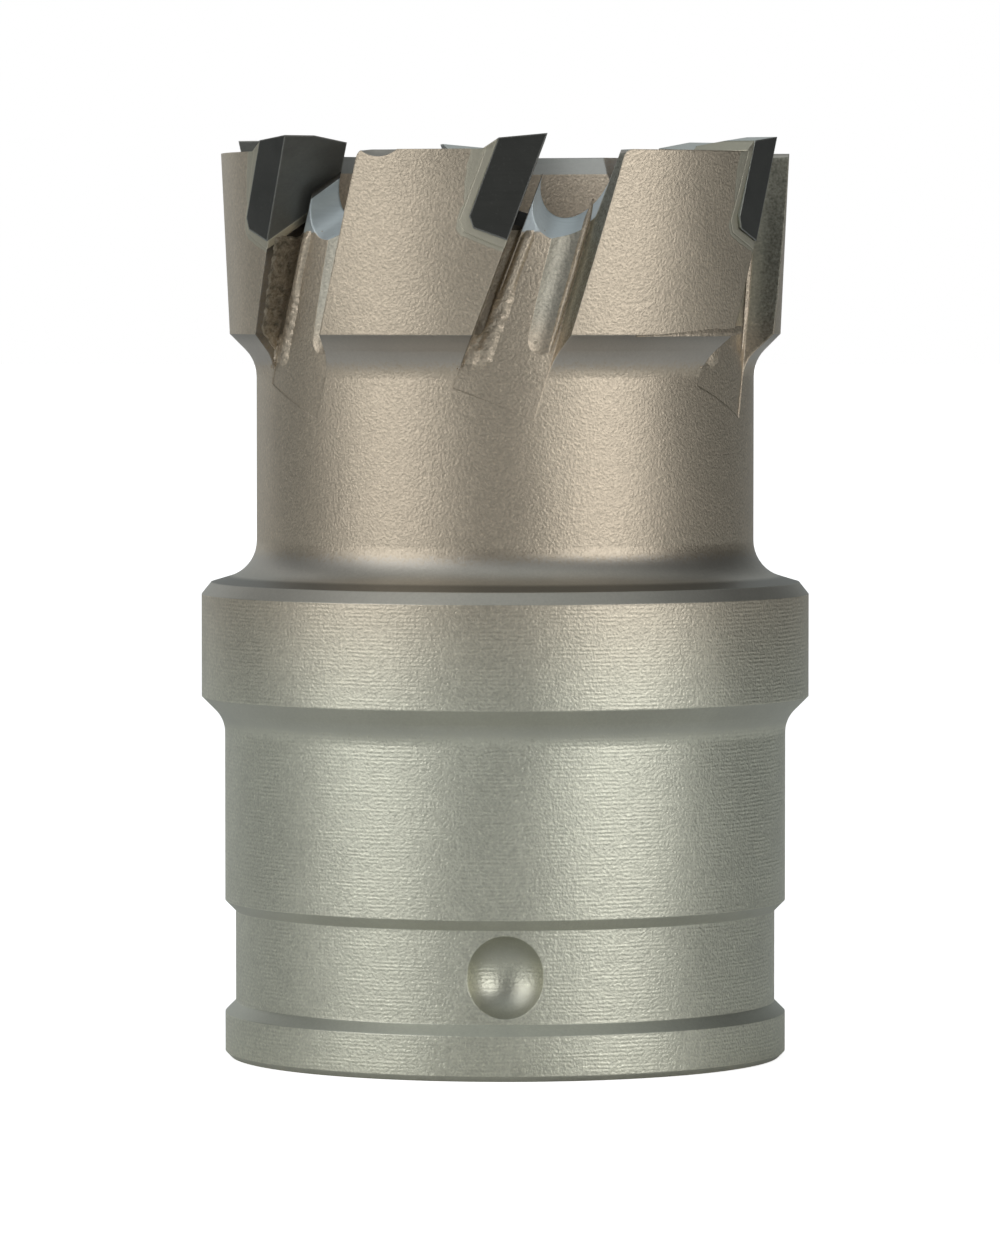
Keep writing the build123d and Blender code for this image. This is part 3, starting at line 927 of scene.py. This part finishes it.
class CUTTER_OT_tear_flutes(bpy.types.Operator):
    """Lays the torn, lumpy strip that the cutter left beside each rake plane"""

    bl_idname = "cutter.tear_flutes"
    bl_label = "Tear Flutes"

    grid = (44, 120)
    thickness = 0.00012
    bottom = 0.0267
    side_border = 0.14
    end_border = 0.06
    border_sunk = 0.00010
    lumps_across = 9.0
    lumps_slant = 8.0
    lumps_up = 26.0
    noise_apart = 7.3
    lump_height = 0.00003
    crown_step = (CROWN_BOTTOM - RUN_OUT, CROWN_BOTTOM + 0.0003)
    torn_step = (0.0302, 0.0290)

    # The part on the rake wall
    wall_share = 0.45
    wall_reach = 0.00102
    wall_lean = 0.045

    # The part on the floor, with a rib along its middle and the slot's end along its edge
    floor_reach = 0.00120
    rib_middle = 0.00066
    rib_step = (0.00034, 0.00008)
    torn_rib_height = 0.00006
    smooth_rib_height = 0.00020
    smooth_lump_height = 0.00001
    smooth_sunk = 0.00007
    slot_step = (0.00036, 0.00026)
    slot_foot_step = (0.0279, 0.0284)
    slot_depth = 0.00020

    def execute(self, context):
        material = torn_steel_material(context.scene.cutter_finish, "torn_steel_with_hollow_shade")
        for number, turn in enumerate(TOOTH_TURNS, start=1):
            def place(u, v):
                return self.torn_point(u, v, turn, number)

            laid_sheet(f"torn_strip_{number}", self.grid, self.thickness, place, material)
        return {"FINISHED"}

    def torn_point(self, u, v, turn, number):
        """A point of the strip: u runs down the rake wall and out along the floor, v runs up."""
        height = self.bottom + (STRIP_TOP - self.bottom) * v
        start = Vector((self.noise_apart * number, 0, 0))
        place = Vector((u * self.lumps_across + v * self.lumps_slant, v * self.lumps_up, 0)) + start
        lump = noise.noise(place) + 0.45 * noise.noise(place * 2.9) + 0.25 * noise.noise(place * 6.5)
        border = min(min(u, 1 - u) / self.side_border, min(v, 1 - v) / self.end_border, 1.0)
        sunk = (1 - eased(border, 0.0, 1.0)) * self.border_sunk
        side = self.on_wall if u < self.wall_share else self.on_floor
        radius, before, hollow_shade = side(u, height, lump, sunk)
        return round_point(radius, rake_turn(radius, height, before) + turn, height), hollow_shade

    def on_wall(self, u, height, lump, sunk):
        """The radius, the distance before the rake plane and the painted shade of a point on the rake wall.
        """
        on_crown = eased(height, *self.crown_step)
        up_wall = 1 - u / self.wall_share
        reach = self.wall_reach + self.wall_lean * (height - CROWN_BOTTOM)
        radius = FLOOR_RADIUS + reach * up_wall * on_crown
        before = self.lump_height + self.lump_height * lump - sunk
        # Painted shade over the rake wall under the tip, deeper between the lumps
        hollow_shade = (0.45 + 0.35 * eased(lump, 0.1, -0.5)) * on_crown
        return radius, before, hollow_shade

    def on_floor(self, u, height, lump, sunk):
        """The same of a point on the flute's floor: torn below, with a smooth rib above."""
        share = (u - self.wall_share) / (1 - self.wall_share)
        before = self.floor_reach * share
        torn = eased(height, *self.torn_step)
        rib = eased(abs(before - self.rib_middle), *self.rib_step)
        slot = eased(before, *self.slot_step) * eased(height, *self.slot_foot_step)
        torn_lift = self.lump_height + self.lump_height * lump + self.torn_rib_height * rib
        smooth_lift = self.smooth_rib_height * rib - self.smooth_sunk + self.smooth_lump_height * lump
        lift = torn * torn_lift + (1 - torn) * smooth_lift
        lift = lift * (1 - slot) - self.slot_depth * slot
        on_crown = eased(height, *self.crown_step)
        # Painted shade in the slot's end and between the torn lumps
        hollow_shade = 0.55 * slot + 0.30 * torn * on_crown * eased(lump, 0.0, -0.5)
        return FLOOR_RADIUS + lift - sunk, before, hollow_shade


class CUTTER_OT_raise_burr(bpy.types.Operator):
    """Raises the burr that is turned up over a land's lower edge, thin and ragged"""

    bl_idname = "cutter.raise_burr"
    bl_label = "Raise Burr"

    grid = (90, 12)
    thickness = 0.00005
    first_turn = radians(-62.5)
    last_turn = radians(-32.6)
    full_height = 0.00033
    least_height = 0.00004
    foot_sunk = 0.00006
    stands_out = 0.00006
    ragged_lift = 0.00002
    top_sunk = 0.00004
    curl_lift = 0.00012
    coarse_scale = 14.0
    coarse_row = 3.1
    fine_scale = 37.0
    fine_row = 8.4

    def execute(self, context):
        material = torn_steel_material(context.scene.cutter_finish, "burr_with_foot_shade")
        laid_sheet("land_burr", self.grid, self.thickness, self.burr_point, material)
        return {"FINISHED"}

    def burr_point(self, u, v):
        """A point of the burr: u runs along the land's lower edge and v up the flap."""
        turn = self.first_turn + (self.last_turn - self.first_turn) * u
        grown = eased(u, 0.0, 0.75)
        coarse = noise.noise(Vector((u * self.coarse_scale, self.coarse_row, 0)))
        ragged = coarse + 0.5 * noise.noise(Vector((u * self.fine_scale, self.fine_row, 0)))
        reach = self.full_height * grown * (1.0 + 0.15 * ragged) + self.least_height
        curl = eased(u, 0.86, 1.0)
        lift = self.stands_out * (0.4 + 0.6 * grown) * eased(v, 1.0, 0.2)
        lift = lift + self.ragged_lift * ragged * (1 - v) - self.top_sunk * eased(v, 0.75, 1.0)
        height = CROWN_BOTTOM - self.foot_sunk + reach * v + self.curl_lift * curl * (1 - v)
        # The second value is painted shade at the burr's foot, under the flap
        return round_point(LAND_RADIUS + lift, turn, height), 0.25 * eased(v, 0.15, 0.0)


class CUTTER_OT_lay_ridges(bpy.types.Operator):
    """Lays the thin bright ridge that stands along the foot of each flute's slanted wall"""

    bl_idname = "cutter.lay_ridges"
    bl_label = "Lay Ridges"

    grid = (8, 70)
    thickness = 0.00008
    top = 0.0331
    bottom = 0.0262
    half_width = 0.00013
    height = 0.00014
    sunk = 0.00003
    from_wall = 0.00016
    waver = 0.00002
    waver_scale = 1500

    def execute(self, context):
        material = torn_steel_material(context.scene.cutter_finish, "ridge_finish")
        for number, (turn, gullet_angle) in enumerate(zip(TOOTH_TURNS, GULLET_ANGLES), start=1):
            def place(u, v):
                return self.ridge_point(u, v, turn, gullet_angle)

            laid_sheet(f"flute_ridge_{number}", self.grid, self.thickness, place, material)
        return {"FINISHED"}

    def ridge_point(self, u, v, turn, gullet_angle):
        """A point of the ridge: u runs across it and v runs up the wall's foot."""
        height = self.bottom + (self.top - self.bottom) * v
        taper = eased(v, 0.0, 0.45) * eased(v, 1.0, 0.88)
        across = (2 * u - 1) * self.half_width * (0.35 + 0.65 * taper)
        crest = (1 - (2 * u - 1) ** 2) * self.height * taper
        waver = self.waver * noise.noise(Vector((height * self.waver_scale, gullet_angle, 0)))
        radius = FLOOR_RADIUS + crest - self.sunk
        angle = wall_turn(FLOOR_RADIUS, height, gullet_angle) - (self.from_wall + waver - across) / radius
        return round_point(radius, angle + turn, height), 0.0


class CUTTER_OT_set_stage(bpy.types.Operator):
    """Sets the floor, the soft lamps, the room light and the camera"""

    bl_idname = "cutter.set_stage"
    bl_label = "Set Stage"

    white = (1.0, 1.0, 1.0, 1.0)
    cool_white = (0.90, 0.98, 1.0, 1.0)
    light_paper = (0.86, 0.86, 0.86, 1.0)
    dark_paper = (0.82, 0.82, 0.82, 1.0)

    # How bright the floor looks near the part, and the distances over which it fades to white
    near_floor_level = 0.80
    floor_step = (0.10, 0.60)

    # Steps of a direction's Y, Z or X over which the room's light changes
    behind_step = (0.55, 0.95)
    front_step = (-0.75, -0.97)
    overhead_step = (0.68, 0.97)
    right_step = (0.1, 0.8)

    def execute(self, context):
        stage = context.scene.cutter_stage
        self.add_floor(stage)
        self.add_room(context, stage)
        left_size = (stage.softbox_width, stage.left_bottom, stage.left_top)
        right_size = (stage.softbox_width, stage.right_bottom, stage.right_top)
        rear_size = (stage.rear_width, stage.left_bottom, stage.left_top)
        self.add_softbox(context, "left_softbox", stage.left_turn, left_size, stage.left_power)
        self.add_softbox(context, "right_softbox", stage.right_turn, right_size, stage.right_power)
        self.add_softbox(context, "rear_left_softbox", stage.rear_turn, rear_size, stage.rear_power)
        self.add_camera(context, stage)
        return {"FINISHED"}

    def add_floor(self, stage):
        """A pale floor that keeps the part's soft shadow and fades to white behind it."""
        deselect_all()
        bpy.ops.mesh.primitive_plane_add(size=stage.floor_size, location=(0, 0, 0))
        floor = bpy.context.object
        floor.name = "studio_floor"
        material, tree = new_material("studio_floor_paper")
        shader = tree.nodes[SHADER]
        place = object_place(tree)
        fibre = product(tree, noise_value(tree, place, 900.0, detail=3.0), 0.3)
        paper = blend_colour(tree, fibre, self.light_paper, self.dark_paper)
        tree.links.new(paper, shader.inputs["Base Color"])
        shader.inputs["Roughness"].default_value = 0.9
        shader.inputs["Specular IOR Level"].default_value = 0.0
        far = smooth_step(tree, vector_length(tree, place), *self.floor_step)
        level = weighted_sum(tree, self.near_floor_level, (far, 1.0 - self.near_floor_level))
        path = tree.nodes.new("ShaderNodeLightPath")
        seen_level = product(tree, path.outputs["Is Camera Ray"], level)
        glow = add_node(tree, "ShaderNodeEmission", {"Color": self.white, "Strength": seen_level})
        both = add_node(tree, "ShaderNodeAddShader", {0: shader.outputs[0], 1: glow.outputs[0]})
        tree.links.new(both.outputs[0], tree.nodes["Material Output"].inputs["Surface"])
        floor.data.materials.append(material)

    def add_room(self, context, stage):
        """White to the camera, and to the part a cool room that is lighter behind and overhead."""
        world = bpy.data.worlds.new("studio_room")
        context.scene.world = world
        world.use_nodes = True
        tree = world.node_tree
        background = tree.nodes["Background"]
        direction = components(tree, tree.nodes.new("ShaderNodeTexCoord").outputs["Generated"])
        behind = smooth_step(tree, direction["Y"], *self.behind_step)
        front = smooth_step(tree, direction["Y"], *self.front_step)
        overhead = smooth_step(tree, direction["Z"], *self.overhead_step)
        right = smooth_step(tree, direction["X"], *self.right_step)
        level = weighted_sum(tree, stage.room_level, (behind, 0.35), (front, -0.08))
        level = product(tree, level, weighted_sum(tree, 1.0, (right, -0.80)))
        level = weighted_sum(tree, level, (overhead, stage.overhead_level))
        seen = tree.nodes.new("ShaderNodeLightPath").outputs["Is Camera Ray"]
        strength = add_node(tree, "ShaderNodeMix", {"Factor": seen, "A": level, "B": 1.0}, data_type="FLOAT")
        tree.links.new(blend_colour(tree, seen, self.cool_white, self.white), background.inputs["Color"])
        tree.links.new(strength.outputs[0], background.inputs["Strength"])

    def add_softbox(self, context, name, turn, size, power):
        """An upright soft lamp of that width, bottom and top, at that turn from the front."""
        width, bottom, top = size
        lamp = bpy.data.lights.new(name, "AREA")
        lamp.shape = "RECTANGLE"
        lamp.size = width
        lamp.size_y = top - bottom
        lamp.energy = power
        softbox = bpy.data.objects.new(name, lamp)
        context.scene.collection.objects.link(softbox)
        reach = context.scene.cutter_stage.softbox_distance
        softbox.location = (sin(turn) * reach, -cos(turn) * reach, (bottom + top) / 2)
        softbox.rotation_euler = Euler((pi / 2, 0, turn), "XYZ")

    def add_camera(self, context, stage):
        """The photograph's viewpoint: a long lens, a little above the middle, looking slightly down."""
        lens = bpy.data.cameras.new("studio_camera")
        lens.sensor_fit = "VERTICAL"
        lens.sensor_height = 36.0
        lens.sensor_width = 36.0
        lens.lens = stage.camera_lens
        lens.clip_start = 0.01
        lens.clip_end = 20.0
        camera = bpy.data.objects.new("studio_camera", lens)
        context.scene.collection.objects.link(camera)
        camera.location = (stage.camera_side, -stage.camera_distance, stage.camera_height)
        camera.rotation_euler = Euler((pi / 2 - stage.camera_pitch, 0, 0), "XYZ")
        context.scene.camera = camera
        context.scene.view_settings.view_transform = "Standard"


class CUTTER_PT_panel(bpy.types.Panel):
    """Lists the steps that dress the hole cutter"""

    bl_label = "Hole Cutter"
    bl_idname = "CUTTER_PT_panel"
    bl_space_type = "VIEW_3D"
    bl_region_type = "UI"
    bl_category = "Hole Cutter"

    def draw(self, context):
        for operator in OPERATORS:
            self.layout.operator(operator.bl_idname)


OPERATORS = (
    CUTTER_OT_dress_body,
    CUTTER_OT_finish_tips,
    CUTTER_OT_finish_seams,
    CUTTER_OT_tear_flutes,
    CUTTER_OT_lay_ridges,
    CUTTER_OT_raise_burr,
    CUTTER_OT_set_stage,
)
CLASSES = (StageSettings, FinishSettings) + OPERATORS + (CUTTER_PT_panel,)


def register():
    for cls in CLASSES:
        bpy.utils.register_class(cls)
    bpy.types.Scene.cutter_stage = PointerProperty(type=StageSettings)
    bpy.types.Scene.cutter_finish = PointerProperty(type=FinishSettings)


def unregister():
    del bpy.types.Scene.cutter_finish
    del bpy.types.Scene.cutter_stage
    for cls in reversed(CLASSES):
        bpy.utils.unregister_class(cls)


def main():
    register()
    bpy.ops.cutter.dress_body()
    bpy.ops.cutter.finish_tips()
    bpy.ops.cutter.finish_seams()
    bpy.ops.cutter.tear_flutes()
    bpy.ops.cutter.lay_ridges()
    bpy.ops.cutter.raise_burr()
    bpy.ops.cutter.set_stage()


if __name__ == "__main__":
    main()
